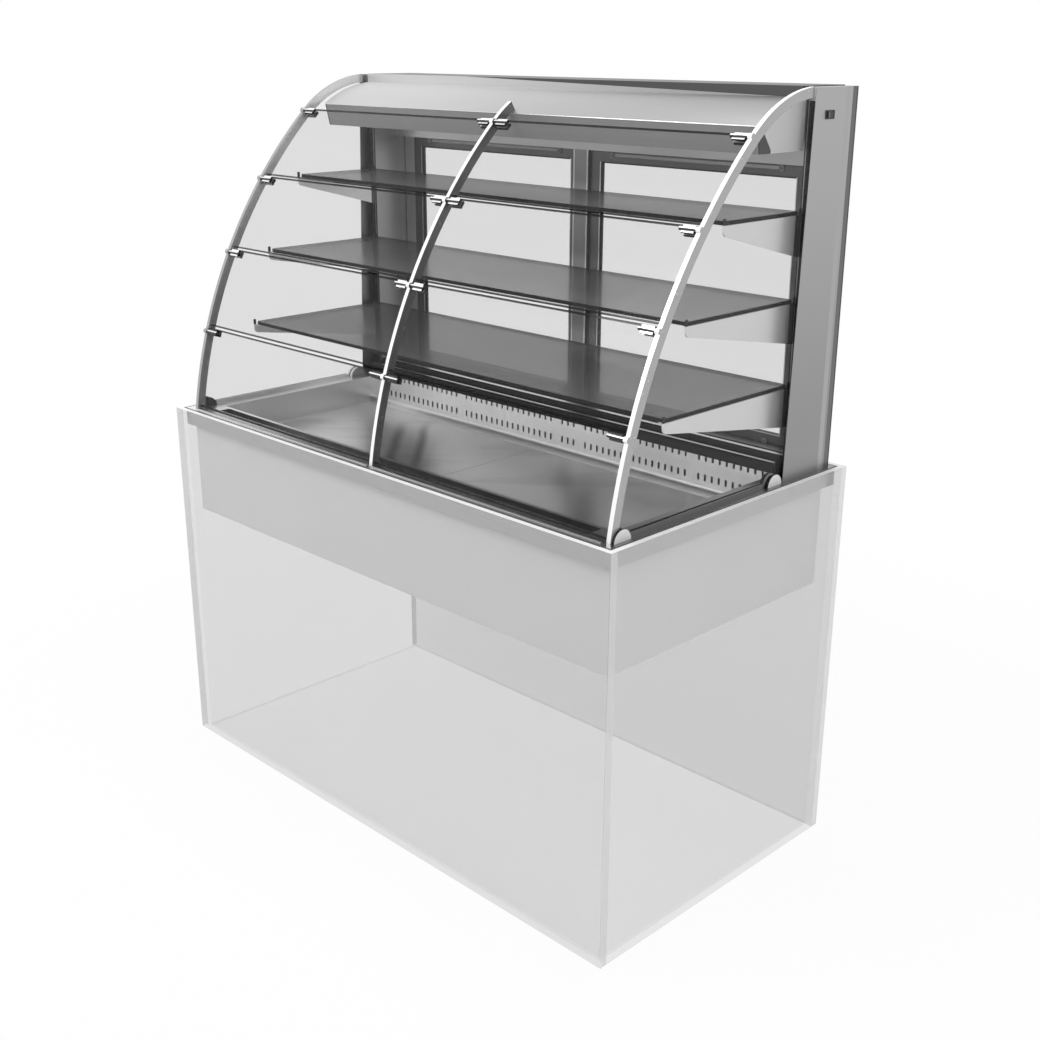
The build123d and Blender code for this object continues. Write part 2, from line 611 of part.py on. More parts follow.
# rear header: closed box under the canopy's flat rear, with the upper door grooves
with BuildPart() as header:
    header_top = CANOPY_TOP - CANOPY_T
    block((-COLUMN_IN, HEADER_FRONT, HEADER_LOW), (COLUMN_IN, COLUMN_BACK, header_top))
    block((SHEET - COLUMN_IN, HEADER_FRONT + SHEET, HEADER_LOW + GROOVE_DEPTH + SHEET),
          (COLUMN_IN - SHEET, COLUMN_BACK - SHEET, header_top - SHEET), Mode.SUBTRACT)
    for middle in tongue_ys:
        block((-COLUMN_IN, middle - GROOVE_T / 2, HEADER_LOW),
              (COLUMN_IN, middle + GROOVE_T / 2, HEADER_LOW + GROOVE_DEPTH), Mode.SUBTRACT)
save(header.part, "rear_header")

with BuildPart() as post:
    block((-POST_HALF_W, POST_FRONT, SILL_TOP), (POST_HALF_W, POST_FRONT + POST_T, HEADER_LOW))
save(post.part, "centre_post")

# sliding doors: frame with tongues, pane held in its groove, round glides on the front
for word, side, door_y in (("left", -1, LEFT_DOOR_Y), ("right", 1, RIGHT_DOOR_Y)):
    outer_x = side * (COLUMN_IN - DOOR_SIDE_GAP)
    span = sorted((outer_x, outer_x - side * DOOR_W))
    glass_mid = door_y + DOOR_T / 2
    pane_low = (span[0] + STILE - GLASS_TUCK, glass_mid - DOOR_GLASS / 2,
                DOOR_LOW + BOTTOM_MEMBER - GLASS_TUCK)
    pane_high = (span[1] - STILE + GLASS_TUCK, glass_mid + DOOR_GLASS / 2,
                 DOOR_TOP - TOP_MEMBER + GLASS_TUCK)
    with BuildPart() as frame:
        block((span[0], door_y, DOOR_LOW), (span[1], door_y + DOOR_T, DOOR_TOP))
        block((span[0] + STILE, door_y, DOOR_LOW + BOTTOM_MEMBER),
              (span[1] - STILE, door_y + DOOR_T, DOOR_TOP - TOP_MEMBER), Mode.SUBTRACT)
        block(pane_low, pane_high, Mode.SUBTRACT)
        tongue = (glass_mid - TONGUE_T / 2, glass_mid + TONGUE_T / 2)
        block((span[0], tongue[0], DOOR_TOP), (span[1], tongue[1], DOOR_TOP + TONGUE_H))
        block((span[0], tongue[0], DOOR_LOW - TONGUE_H), (span[1], tongue[1], DOOR_LOW))
    save(frame.part, f"{word}_door_frame")
    with BuildPart() as pane:
        block(pane_low, pane_high)
    save(pane.part, f"{word}_door_glass")
    with BuildPart() as glides:
        with BuildSketch(Plane.XZ.offset(-door_y)):
            with Locations(*[(x, z) for x in (span[0] + GLIDE_INSET, span[1] - GLIDE_INSET)
                             for z in (GLIDE_LOW_Z, GLIDE_TOP_Z)]):
                Circle(GLIDE_R)
                Circle(GLIDE_BORE_R, mode=Mode.SUBTRACT)
        extrude(amount=GLIDE_T)
    save(glides.part, f"{word}_door_rollers")

# curved ribs with a bored boss at every hinge line
pivots = [low_point(LOW_ARC_R, z) for z in PIVOT_Z]


def rib_face(end_turn):
    """Rib outline between the outer and the inner curve."""
    outer = band(LOW_ARC_R, TOP_ARC_R, RIM_TOP, end_turn)
    inner = band(INNER_R, INNER_TOP_R, RIM_TOP, end_turn)
    with BuildLine() as outline:
        ThreePointArc(*outer[0:3])
        ThreePointArc(*outer[2:5])
        Line(outer[4], inner[4])
        ThreePointArc(inner[4], inner[3], inner[2])
        ThreePointArc(inner[2], inner[1], inner[0])
        Line(inner[0], outer[0])
    make_face(outline.edges())


def rib(name, centre_x, end_turn, bore_sides):
    """One rib: curved bar, bosses, and a blind bore on each flap side."""
    start = centre_x - RIB_W / 2
    with BuildPart() as bar:
        with BuildSketch(Plane.YZ.offset(start)):
            rib_face(end_turn)
            with Locations(*pivots):
                Circle(BOSS_R)
        extrude(amount=RIB_W)
        for side in bore_sides:
            depth = PIN_IN_RIB + PIN_END_GAP
            bore_x = start if side < 0 else start + RIB_W - depth
            with BuildSketch(Plane.YZ.offset(bore_x)):
                with Locations(*pivots):
                    Circle(PIN_R + PIN_FIT)
            extrude(amount=depth, mode=Mode.SUBTRACT)
        if len(bore_sides) == 1:
            column_skin(start, RIB_W, RIB_W, Mode.SUBTRACT)
        else:
            hook_turn = end_turn + HOOK_R / TOP_ARC_R
            with BuildSketch(Plane.YZ.offset(start)):
                with Locations(top_polar(TOP_ARC_R - HOOK_R, hook_turn)):
                    Circle(HOOK_R)
            extrude(amount=RIB_W)
    save(bar.part, name)


mid_end_turn = asin((TOP_ARC_Y - MID_RIB_END_Y) / INNER_TOP_R)
rib("left_rib", -RIB_X, 0.0, (1,))
rib("middle_rib", 0.0, mid_end_turn, (-1, 1))
rib("right_rib", RIB_X, 0.0, (-1,))

# canopy sheet: curved front, step up, flat rear
lip_turn = asin((TOP_ARC_Y - CANOPY_LIP_Y) / INNER_TOP_R)
step_turn = asin((TOP_ARC_Y - CANOPY_STEP_Y) / INNER_TOP_R)
canopy_in_r = INNER_TOP_R - CANOPY_T
with BuildPart() as canopy:
    with BuildSketch(Plane.YZ.offset(-COLUMN_IN)):
        outer_lip = top_polar(INNER_TOP_R, lip_turn)
        outer_step = top_polar(INNER_TOP_R, step_turn)
        inner_lip = top_polar(canopy_in_r, lip_turn)
        inner_end = (CANOPY_STEP_Y + CANOPY_T, top_point(canopy_in_r, CANOPY_STEP_Y + CANOPY_T)[1])
        inner_turn = asin((TOP_ARC_Y - inner_end[0]) / canopy_in_r)
        with BuildLine():
            ThreePointArc(outer_lip, top_polar(INNER_TOP_R, (lip_turn + step_turn) / 2), outer_step)
            Polyline(outer_step, (CANOPY_STEP_Y, CANOPY_TOP), (COLUMN_BACK, CANOPY_TOP),
                     (COLUMN_BACK, CANOPY_TOP - CANOPY_T), (CANOPY_STEP_Y + CANOPY_T, CANOPY_TOP - CANOPY_T),
                     inner_end)
            ThreePointArc(inner_end, top_polar(canopy_in_r, (lip_turn + inner_turn) / 2), inner_lip)
            Line(inner_lip, outer_lip)
        make_face()
    extrude(amount=2 * COLUMN_IN)
save(canopy.part, "canopy_shell")

# end plates that close the lamp housing under the canopy
with BuildPart() as end_plates:
    for side in (-1, 1):
        edges = sorted((side * COLUMN_IN, side * (COLUMN_IN - END_PLATE_T)))
        with BuildSketch(Plane.YZ.offset(edges[0])):
            with BuildLine():
                ThreePointArc(inner_lip, top_polar(canopy_in_r, (lip_turn + inner_turn) / 2), inner_end)
                Polyline(inner_end, (LAMP_BACK, inner_end[1]), (LAMP_BACK, LAMP_BOTTOM),
                         (LAMP_FRONT_LOW_Y, LAMP_BOTTOM), inner_lip)
            make_face()
        extrude(amount=END_PLATE_T)
save(end_plates.part, "canopy_end_plates")

# lamp housing: folded sheet between the end plates, with a lamp opening in its floor
housing_half_w = COLUMN_IN - END_PLATE_T
with BuildPart() as lamp_housing:
    with BuildSketch(Plane.YZ.offset(-housing_half_w)):
        with BuildLine():
            lean_y = inner_lip[0] + LAMP_SKIN * 2
            Polyline(inner_lip, (LAMP_FRONT_LOW_Y, LAMP_BOTTOM), (LAMP_BACK, LAMP_BOTTOM),
                     (LAMP_BACK, LAMP_BOTTOM + HOLDER_W), (LAMP_BACK - LAMP_SKIN, LAMP_BOTTOM + HOLDER_W),
                     (LAMP_BACK - LAMP_SKIN, LAMP_BOTTOM + LAMP_SKIN),
                     (LAMP_FRONT_LOW_Y + LAMP_SKIN, LAMP_BOTTOM + LAMP_SKIN),
                     (lean_y, inner_lip[1] - LAMP_SKIN), close=True)
        make_face()
    extrude(amount=2 * housing_half_w)
    block((-TUBE_LAMP_HALF_L, LAMP_SLOT_FRONT, LAMP_BOTTOM),
          (TUBE_LAMP_HALF_L, LAMP_SLOT_BACK, LAMP_BOTTOM + LAMP_SKIN), Mode.SUBTRACT)
    for side in (-1, 1):
        holder = sorted((side * TUBE_LAMP_HALF_L, side * (TUBE_LAMP_HALF_L + HOLDER_T)))
        block((holder[0], TUBE_LAMP_Y - HOLDER_W / 2, LAMP_BOTTOM + LAMP_SKIN),
              (holder[1], TUBE_LAMP_Y + HOLDER_W / 2, TUBE_LAMP_Z + HOLDER_W / 2))
save(lamp_housing.part, "lamp_housing")

with BuildPart() as lamp:
    with BuildSketch(Plane.YZ.offset(-TUBE_LAMP_HALF_L)):
        with Locations((TUBE_LAMP_Y, TUBE_LAMP_Z)):
            Circle(TUBE_LAMP_R)
    extrude(amount=2 * TUBE_LAMP_HALF_L)
save(lamp.part, "lamp_tube")

# end panes inside the outer ribs, down in the channels, back to the uprights
pane_top_turn = asin((TOP_ARC_Y - FIN_FRONT_TOP) / INNER_TOP_R)
for name, side in (("left_side_glass", -1), ("right_side_glass", 1)):
    with BuildPart() as pane:
        with BuildSketch(Plane.YZ.offset(side * RIB_X - PANE_T / 2)):
            curve = band(INNER_R, INNER_TOP_R, PANE_LOW, pane_top_turn)
            with BuildLine():
                ThreePointArc(*curve[0:3])
                ThreePointArc(*curve[2:5])
                Polyline(curve[4], (UPRIGHT_FRONT, curve[4][1]), (UPRIGHT_FRONT, PANE_LOW), curve[0])
            make_face()
        extrude(amount=PANE_T)
    save(pane.part, name)

# half-round clamps at the feet of the end panes, two plates each; the front inner one is
# a quarter-round, clear of the bottom flap
with BuildPart() as clamps:
    for side in (-1, 1):
        for middle_y, half in ((FRONT_CLAMP_Y, RIB_W / 2), (REAR_CLAMP_Y, PANE_T / 2)):
            for near, far in ((RIB_X + half, CLAMP_OUT), (CLAMP_IN, RIB_X - half)):
                edges = sorted((side * near, side * far))
                with BuildSketch(Plane.YZ.offset(edges[0])):
                    with Locations((middle_y, RIM_TOP)):
                        Circle(CLAMP_R)
                    with Locations((middle_y, RIM_TOP - CLAMP_R / 2)):
                        Rectangle(2 * CLAMP_R, CLAMP_R, mode=Mode.SUBTRACT)
                    if middle_y == FRONT_CLAMP_Y and near == CLAMP_IN:
                        with Locations((middle_y - CLAMP_R / 2, RIM_TOP + CLAMP_R / 2)):
                            Rectangle(CLAMP_R, CLAMP_R, mode=Mode.SUBTRACT)
                extrude(amount=edges[1] - edges[0])
save(clamps.part, "glass_clamps")

# flaps: curved pane and a pair of hinge clips each
rows = ("top", "upper", "lower", "bottom")
for row, word in enumerate(rows):
    turn = low_turn(PIVOT_Z[row])
    top_turn = turn + FLAP_ABOVE / LOW_ARC_R
    if row + 1 < len(PIVOT_Z):
        low_end_turn = low_turn(PIVOT_Z[row + 1]) + FLAP_BELOW_GAP / LOW_ARC_R
    else:
        low_end_turn = asin((RIM_TOP + FLAP_FOOT_GAP - LOW_ARC_Z) / GLASS_IN_R)
    pivot = low_polar(LOW_ARC_R, turn)
    radial = Vector(0, -cos(turn), sin(turn))
    for side_word, side in (("left", -1), ("right", 1)):
        rib_faces = sorted((side * RIB_W / 2, side * (RIB_X - RIB_W / 2)))
        pane_x = (rib_faces[0] + FLAP_SIDE_GAP, rib_faces[1] - FLAP_SIDE_GAP)
        clip_spots = []
        for face_x, inward in ((rib_faces[0], 1), (rib_faces[1], -1)):
            clip_spots.append((face_x, inward, face_x + inward * (CLAMP_SIDE_GAP + CLAMP_L / 2)))
        with BuildPart() as flap:
            with BuildSketch(Plane.YZ.offset(pane_x[0])):
                sector(low_end_turn, top_turn, GLASS_IN_R, GLASS_OUT_R)
            extrude(amount=pane_x[1] - pane_x[0])
            for face_x, inward, stud_x in clip_spots:
                start = low_polar(GLASS_IN_R - FLAP_GLASS, turn)
                stud_plane = Plane(origin=(stud_x, start[0], start[1]), x_dir=(1, 0, 0), z_dir=radial)
                with BuildSketch(stud_plane):
                    Circle(STUD_HOLE_R)
                extrude(amount=3 * FLAP_GLASS, mode=Mode.SUBTRACT)
        save(flap.part, f"flap_glass_{side_word}_{word}")
        with BuildPart() as clips:
            for face_x, inward, stud_x in clip_spots:
                pin_x = sorted((face_x - inward * PIN_IN_RIB, face_x + inward * PIN_L))
                with BuildSketch(Plane.YZ.offset(pin_x[0])):
                    with Locations(pivot):
                        Circle(PIN_R)
                extrude(amount=pin_x[1] - pin_x[0])
                clamp_x = stud_x - CLAMP_L / 2
                half_turn = CLAMP_HALF_H / LOW_ARC_R
                with BuildSketch(Plane.YZ.offset(clamp_x)):
                    sector(turn - half_turn, turn + half_turn, GLASS_OUT_R, LOW_ARC_R)
                extrude(amount=CLAMP_L)
                with BuildSketch(Plane.YZ.offset(clamp_x)):
                    sector(turn - half_turn, turn + half_turn, GLASS_IN_R - CLAMP_INNER, GLASS_IN_R)
                extrude(amount=CLAMP_L)
                start = low_polar(GLASS_IN_R - CLAMP_INNER / 2, turn)
                stud_plane = Plane(origin=(stud_x, start[0], start[1]), x_dir=(1, 0, 0), z_dir=radial)
                with BuildSketch(stud_plane):
                    Circle(STUD_R)
                extrude(amount=CLAMP_INNER / 2 + FLAP_GLASS + FLAP_DROP)
        save(clips.part, f"flap_clips_{side_word}_{word}")

# glass shelves, and the sheet brackets that carry their ends
shelf_half = COLUMN_IN - SHELF_END_GAP
for word, shelf_z, shelf_front in zip(("bottom", "middle", "top"), SHELF_Z, SHELF_FRONT):
    with BuildPart() as shelf:
        with BuildSketch(Plane.XY.offset(shelf_z)):
            with BuildLine():
                Polyline((-shelf_half, SHELF_BACK), (-shelf_half, shelf_front + SHELF_CORNER),
                         (SHELF_CORNER - shelf_half, shelf_front), (shelf_half - SHELF_CORNER, shelf_front),
                         (shelf_half, shelf_front + SHELF_CORNER), (shelf_half, SHELF_BACK), close=True)
            make_face()
        extrude(amount=SHELF_T)
    save(shelf.part, f"{word}_shelf")

with BuildPart() as brackets:
    for shelf_z, shelf_front in zip(SHELF_Z, SHELF_FRONT):
        nib_front = shelf_front - NIB_AHEAD
        low_z = shelf_z - BRACKET_FRONT_DROP
        for side in (-1, 1):
            plate = sorted((side * COLUMN_IN, side * (COLUMN_IN + BRACKET_T)))
            with BuildSketch(Plane.YZ.offset(plate[0])):
                with BuildLine():
                    Polyline((nib_front + BRACKET_CORNER, low_z),
                             (UPRIGHT_FRONT, shelf_z - BRACKET_REAR_DROP),
                             (UPRIGHT_FRONT, shelf_z + NIB_UP), (UPRIGHT_FRONT - NIB_L / 2, shelf_z + NIB_UP),
                             (UPRIGHT_FRONT - NIB_L / 2, shelf_z), (nib_front + NIB_L, shelf_z),
                             (nib_front + NIB_L, shelf_z + NIB_UP), (nib_front, shelf_z + NIB_UP),
                             (nib_front, low_z + BRACKET_CORNER))
                    ThreePointArc((nib_front, low_z + BRACKET_CORNER),
                                  (nib_front + BRACKET_CORNER * (1 - sin(pi / 4)),
                                   low_z + BRACKET_CORNER * (1 - sin(pi / 4))),
                                  (nib_front + BRACKET_CORNER, low_z))
                make_face()
            extrude(amount=BRACKET_T)
            flange = sorted((side * COLUMN_IN, side * (COLUMN_IN - BRACKET_FLANGE)))
            block((flange[0], nib_front + NIB_L, shelf_z - BRACKET_FLANGE_T),
                  (flange[1], UPRIGHT_FRONT - NIB_L / 2, shelf_z))
save(brackets.part, "shelf_brackets")

# rocker switch and its bezel
window_y = (SWITCH_W - 2 * BEZEL_BORDER) / 2
window_z = (SWITCH_H - 2 * BEZEL_BORDER) / 2
pivot_x = COLUMN_OUT - ROCKER_PIVOT_IN
with BuildPart() as bezel:
    block((COLUMN_OUT, SWITCH_Y - SWITCH_W / 2, SWITCH_Z - SWITCH_H / 2),
          (COLUMN_OUT + BEZEL_T, SWITCH_Y + SWITCH_W / 2, SWITCH_Z + SWITCH_H / 2))
    block((COLUMN_OUT - BODY_DEPTH, SWITCH_Y - body_half_y, SWITCH_Z - body_half_z),
          (COLUMN_OUT, SWITCH_Y + body_half_y, SWITCH_Z + body_half_z))
    block((COLUMN_OUT - BODY_DEPTH + SHEET, SWITCH_Y - window_y, SWITCH_Z - window_z),
          (COLUMN_OUT + BEZEL_T, SWITCH_Y + window_y, SWITCH_Z + window_z), Mode.SUBTRACT)
    with BuildSketch(Plane.XY.offset(SWITCH_Z - ROCKER_BORE_REACH)):
        with Locations((pivot_x, SWITCH_Y)):
            Circle(ROCKER_PIN_R + ROCKER_PIN_FIT)
    extrude(amount=2 * ROCKER_BORE_REACH, mode=Mode.SUBTRACT)
save(bezel.part, "switch_bezel")

rocker_corners = ((-ROCKER_BACK, -ROCKER_HALF_W / 2), (0, -ROCKER_HALF_W), (ROCKER_FACE, -ROCKER_HALF_W),
                  (ROCKER_VALLEY, 0), (ROCKER_FACE, ROCKER_HALF_W), (0, ROCKER_HALF_W),
                  (-ROCKER_BACK, ROCKER_HALF_W / 2))
tilt = radians(ROCKER_TILT)
with BuildPart() as rocker:
    with BuildSketch(Plane.XY.offset(SWITCH_Z - ROCKER_HALF_H)):
        with BuildLine():
            Polyline(*[(pivot_x + x * cos(tilt) - y * sin(tilt), SWITCH_Y + x * sin(tilt) + y * cos(tilt))
                       for x, y in rocker_corners], close=True)
        make_face()
    extrude(amount=2 * ROCKER_HALF_H)
    with BuildSketch(Plane.XY.offset(SWITCH_Z - ROCKER_PIN_REACH)):
        with Locations((pivot_x, SWITCH_Y)):
            Circle(ROCKER_PIN_R)
    extrude(amount=2 * ROCKER_PIN_REACH)
save(rocker.part, "light_switch")
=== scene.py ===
import json
from math import cos, radians, sin

import bmesh
import bpy
from mathutils import Matrix, Vector


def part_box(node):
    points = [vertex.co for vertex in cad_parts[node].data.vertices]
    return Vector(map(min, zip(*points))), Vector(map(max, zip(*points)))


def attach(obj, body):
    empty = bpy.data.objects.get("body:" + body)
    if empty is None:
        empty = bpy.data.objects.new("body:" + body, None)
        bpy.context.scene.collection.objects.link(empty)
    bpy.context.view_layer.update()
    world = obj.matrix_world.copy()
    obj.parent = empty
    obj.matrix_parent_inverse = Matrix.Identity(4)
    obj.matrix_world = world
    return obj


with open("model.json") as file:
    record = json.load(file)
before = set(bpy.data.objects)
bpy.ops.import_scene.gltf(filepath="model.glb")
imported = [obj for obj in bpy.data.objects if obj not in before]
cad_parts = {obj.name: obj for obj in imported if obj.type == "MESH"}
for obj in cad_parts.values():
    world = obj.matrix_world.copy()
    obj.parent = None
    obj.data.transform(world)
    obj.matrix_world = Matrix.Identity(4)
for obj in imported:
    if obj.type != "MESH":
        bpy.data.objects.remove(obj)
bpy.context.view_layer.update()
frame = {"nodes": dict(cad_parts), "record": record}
nodes = frame["nodes"]
scene = bpy.context.scene
scene.view_settings.view_transform = "Standard"
MM = 0.001

# camera at the photograph's viewing angle
CAMERA_PLACE = (2.2494, -2.1360, 1.7737)
CAMERA_TURN = 45.048
CAMERA_DOWN = 19.316
CAMERA_ROLL = 0.194
CAMERA_LENS = 47.163
CAMERA_SENSOR = 36
CAMERA_REACH = 60


def make_camera():
    """Put the camera where the picture was taken from."""
    turn, down, roll = (radians(a) for a in (CAMERA_TURN, CAMERA_DOWN, CAMERA_ROLL))
    forward = Vector((-sin(turn) * cos(down), cos(turn) * cos(down), -sin(down)))
    level = Vector((cos(turn), sin(turn), 0))
    up = level.cross(forward)
    right = cos(roll) * level + sin(roll) * up
    true_up = -sin(roll) * level + cos(roll) * up
    data = bpy.data.cameras.new("camera")
    data.lens = CAMERA_LENS
    data.sensor_width = CAMERA_SENSOR
    data.clip_end = CAMERA_REACH
    camera = bpy.data.objects.new("camera", data)
    scene.collection.objects.link(camera)
    turned = Matrix((right, true_up, -forward)).transposed().to_4x4()
    camera.matrix_world = Matrix.Translation(CAMERA_PLACE) @ turned
    scene.camera = camera


make_camera()


# shader maths
class Value:
    """A shader socket that can be written in sums."""

    def __init__(self, paint, socket):
        self.paint = paint
        self.socket = socket

    def _math(self, operation, first, second):
        return self.paint.node("ShaderNodeMath", {"operation": operation}, {0: first, 1: second})

    def __add__(self, other):
        return self._math("ADD", self, other)

    __radd__ = __add__

    def __sub__(self, other):
        return self._math("SUBTRACT", self, other)

    def __rsub__(self, other):
        return self._math("SUBTRACT", other, self)

    def __mul__(self, other):
        return self._math("MULTIPLY", self, other)

    __rmul__ = __mul__

    def above(self, edge):
        return self._math("GREATER_THAN", self, edge)

    def below(self, edge):
        return self._math("LESS_THAN", self, edge)

    def between(self, low, high):
        return self.above(low) * self.below(high)

    def larger(self, other):
        return self._math("MAXIMUM", self, other)

    def smaller(self, other):
        return self._math("MINIMUM", self, other)

    def power(self, exponent):
        return self._math("POWER", self, exponent)

    def size(self):
        return self._math("ABSOLUTE", self, 0)

    def remainder(self, step):
        return self._math("FLOORED_MODULO", self, step)

    def ramp(self, low, high):
        """0 up to low, 1 from high, smooth between; the other way round where low is the larger."""
        return self.paint.node("ShaderNodeMapRange", {"interpolation_type": "SMOOTHSTEP"},
                               {"Value": self, "From Min": low, "From Max": high})

    def choose(self, yes, no):
        """yes where this is 1, no where it is 0."""
        return self * (yes - no) + no


class Nodes:
    """A node tree that is written one node at a time."""

    def __init__(self, tree):
        self.tree = tree

    def node(self, kind, settings=None, inputs=None, output=0):
        made = self.tree.nodes.new(kind)
        for key, value in (settings or {}).items():
            setattr(made, key, value)
        for key, value in (inputs or {}).items():
            self.feed(made.inputs[key], value)
        return Value(self, made.outputs[output])

    def feed(self, socket, value):
        if isinstance(value, Value):
            self.tree.links.new(value.socket, socket)
        else:
            socket.default_value = value

    def seen(self):
        """1 for what the camera sees, also by way of gloss and glass, and 0 for what only lights."""
        camera, gloss, glass = (self.node("ShaderNodeLightPath", output=f"Is {name} Ray")
                                for name in ("Camera", "Glossy", "Transmission"))
        return camera.larger(gloss).larger(glass)


class Paint(Nodes):
    """One material and its nodes."""

    def __init__(self, name):
        self.material = bpy.data.materials.new(name)
        self.material.use_nodes = True
        super().__init__(self.material.node_tree)
        self.shader = self.tree.nodes["Principled BSDF"]
        self.out = self.tree.nodes["Material Output"]

    def set(self, **inputs):
        for key, value in inputs.items():
            self.feed(self.shader.inputs[key.replace("_", " ")], value)

    def place(self, scale=(1, 1, 1), turn=0):
        """Object coordinates, turned about the upright axis and then stretched."""
        where = self.node("ShaderNodeTexCoord", output="Object")
        if turn:
            where = self.node("ShaderNodeMapping", {}, {"Vector": where, "Rotation": (0, 0, radians(turn))})
        return self.node("ShaderNodeMapping", {}, {"Vector": where, "Scale": scale})

    def noise(self, scale, detail, stretch=(1, 1, 1), turn=0):
        return self.node("ShaderNodeTexNoise", {}, {"Vector": self.place(stretch, turn), "Scale": scale,
                                                    "Detail": detail, "Roughness": 0.5})

    def _parts(self, source, axes):
        """The asked components of a texture coordinate."""
        whole = self.node("ShaderNodeTexCoord", output=source)
        parts = [self.node("ShaderNodeSeparateXYZ", {}, {0: whole}, output=axis) for axis in axes]
        return parts if len(parts) > 1 else parts[0]

    def where(self, axes):
        """Place on the object, in metres along the asked axes."""
        return self._parts("Object", axes)

    def facing(self, axes):
        """Direction that the surface faces, along the asked axes."""
        return self._parts("Normal", axes)

    def bump(self, height, strength, distance):
        return self.node("ShaderNodeBump", {},
                         {"Height": height, "Strength": strength, "Distance": distance})

    def shade(self, tone):
        """Gray of a varying tone."""
        return self.node("ShaderNodeMix", {"data_type": "RGBA"}, {0: tone, 6: gray(0), 7: gray(1)}, output=2)


def gray(shade):
    return (shade, shade, shade, 1)


def toned(paint, tone):
    """A tone as it is, or worked out over the surface."""
    return tone(paint) if callable(tone) else tone


# kinds of finish
BRUSH_FINE = 900
BRUSH_LONG = 6


def brushed(name, tone, rough=0.34, along="x", spread=0.2):
    """Brushed stainless sheet: fine lines along one axis."""
    paint = Paint(name)
    stretch = tuple(BRUSH_LONG if axis == along else BRUSH_FINE for axis in "xyz")
    lines = paint.noise(1.0, 3, stretch)
    cloud = paint.noise(3.0, 2)
    varied = (lines * 0.7 + cloud * 0.3) * spread + (1 - spread / 2)
    paint.set(Base_Color=paint.shade(varied * toned(paint, tone)), Metallic=1.0,
              Roughness=lines * 0.16 + (rough - 0.08), Normal=paint.bump(lines, 0.06, 0.4 * MM))
    return paint.material


def satin(name, tone, rough=0.45, metallic=0.0, grain=260.0, spread=0.14):
    """Painted or moulded surface with a fine grain."""
    paint = Paint(name)
    specks = paint.noise(grain, 3)
    cloud = paint.noise(5.0, 2)
    varied = (specks * 0.6 + cloud * 0.4) * spread + (1 - spread / 2)
    paint.set(Base_Color=paint.shade(varied * toned(paint, tone)), Metallic=metallic,
              Roughness=specks * 0.14 + (rough - 0.07), Normal=paint.bump(specks, 0.05, 0.3 * MM))
    return paint.material


SLANT_BLEND = 0.28
SLANT_POWER = 2.2


def pane(name, edge, tint, cover, slanted, edge_tint, edge_cover, rough=0.04, gloss=0.5):
    """Thin clear sheet: more of it shows at a slant, and its cut or ground edges are darker."""
    paint = Paint(name)
    slant = paint.node("ShaderNodeLayerWeight", {}, {"Blend": SLANT_BLEND}, output="Facing")
    smear = paint.noise(7.0, 3)
    rim = edge(paint)
    paint.set(Base_Color=paint.shade(rim.choose(edge_tint, tint)), Roughness=smear * 0.05 + rough,
              Alpha=(rim * edge_cover + slant.power(SLANT_POWER) * slanted + cover).smaller(1),
              Specular_IOR_Level=gloss)
    return paint.material


def edge_across(axis):
    """Cut edges of a flat pane that faces along an axis."""
    return lambda paint: paint.facing(axis).size().below(0.5)


GROUND_BORDER = 4.2 * MM


def flap_edge(row):
    """Ground borders of one row of curved flaps, along their upper and lower edges."""
    low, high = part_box(f"flap_glass_left_{row}")
    return lambda paint: 1 - paint.where("Z").between(low[2] + GROUND_BORDER, high[2] - GROUND_BORDER)


BOARD_TOP_Z = 0.5
BOARD_OUTSIDE_X = 0.7325
BOARD_END_Y = 0.37
BOARD_TOP_INSIDE = (0.7205, 0.3755)


def ghost_board(name, cover, painted_light_left_share=1.0):
    """See-through milky board with light ends, and a white line round the outside of its top; its left half
    can be painted lighter by letting more through.
    """
    paint = Paint(name)
    x, y, z = paint.where("XYZ")
    top = paint.facing("Z").above(0.5) * z.above(BOARD_TOP_Z)
    end = x.size().above(BOARD_OUTSIDE_X) * y.size().above(BOARD_END_Y) * 0.6
    edge = top.larger(end)
    inside_x, inside_y = BOARD_TOP_INSIDE
    inside = (x.size() - inside_x).larger(y.size() - inside_y).below(0)
    cut_tone = (top * inside).choose(0.04, 1.0)
    cloud = paint.noise(2.0, 1)
    paint.set(Base_Color=paint.shade(edge.choose(cut_tone, 0.46)), Roughness=cloud * 0.06 + 0.4,
              # painted light: the left half covers less, so it shows lighter
              Alpha=edge.choose(0.85, x.above(0).choose(cover, cover * painted_light_left_share)),
              Specular_IOR_Level=0.2)
    return paint.material


# how the tone of each piece runs over it, with light and shade painted into many of them
CANOPY_HALF = 0.67
CANOPY_STEP_Y = 0.2145
PAINTED_REFLECTION_WEDGE_START_X = -0.3
PAINTED_REFLECTION_WEDGE_Z = 1.6892
PAINTED_REFLECTION_WEDGE_FALL = -0.0226


def canopy_painted_reflection_tone(paint):
    """Curved sheet with painted reflections: lighter on the left and painted darker toward the right, with a
    painted dark reflection wedge along its upper edge there; dark behind the rear step.
    """
    x, y, z = paint.where("XYZ")
    # painted reflection: the sheet runs from light on the left to darker on the right
    sheet = x.ramp(-CANOPY_HALF, CANOPY_HALF) * -0.3 + 0.62
    # painted dark reflection: a wedge along the upper edge on the right side
    painted_reflection_wedge = (z - (x * PAINTED_REFLECTION_WEDGE_FALL + PAINTED_REFLECTION_WEDGE_Z)).above(0) * x.above(PAINTED_REFLECTION_WEDGE_START_X)
    return y.above(CANOPY_STEP_Y).choose(0.1, painted_reflection_wedge.choose(0.09, sheet))


COLUMN_HIGHLIGHT_STRIP_Y = (0.318, 0.334)
COLUMN_FOLD_Y = 0.342
COLUMN_REAR_Y = 0.3565
COLUMN_CAP_Z = 1.668
COLUMN_FOOT_Z = 0.9
COLUMN_TOP_Z = 1.7


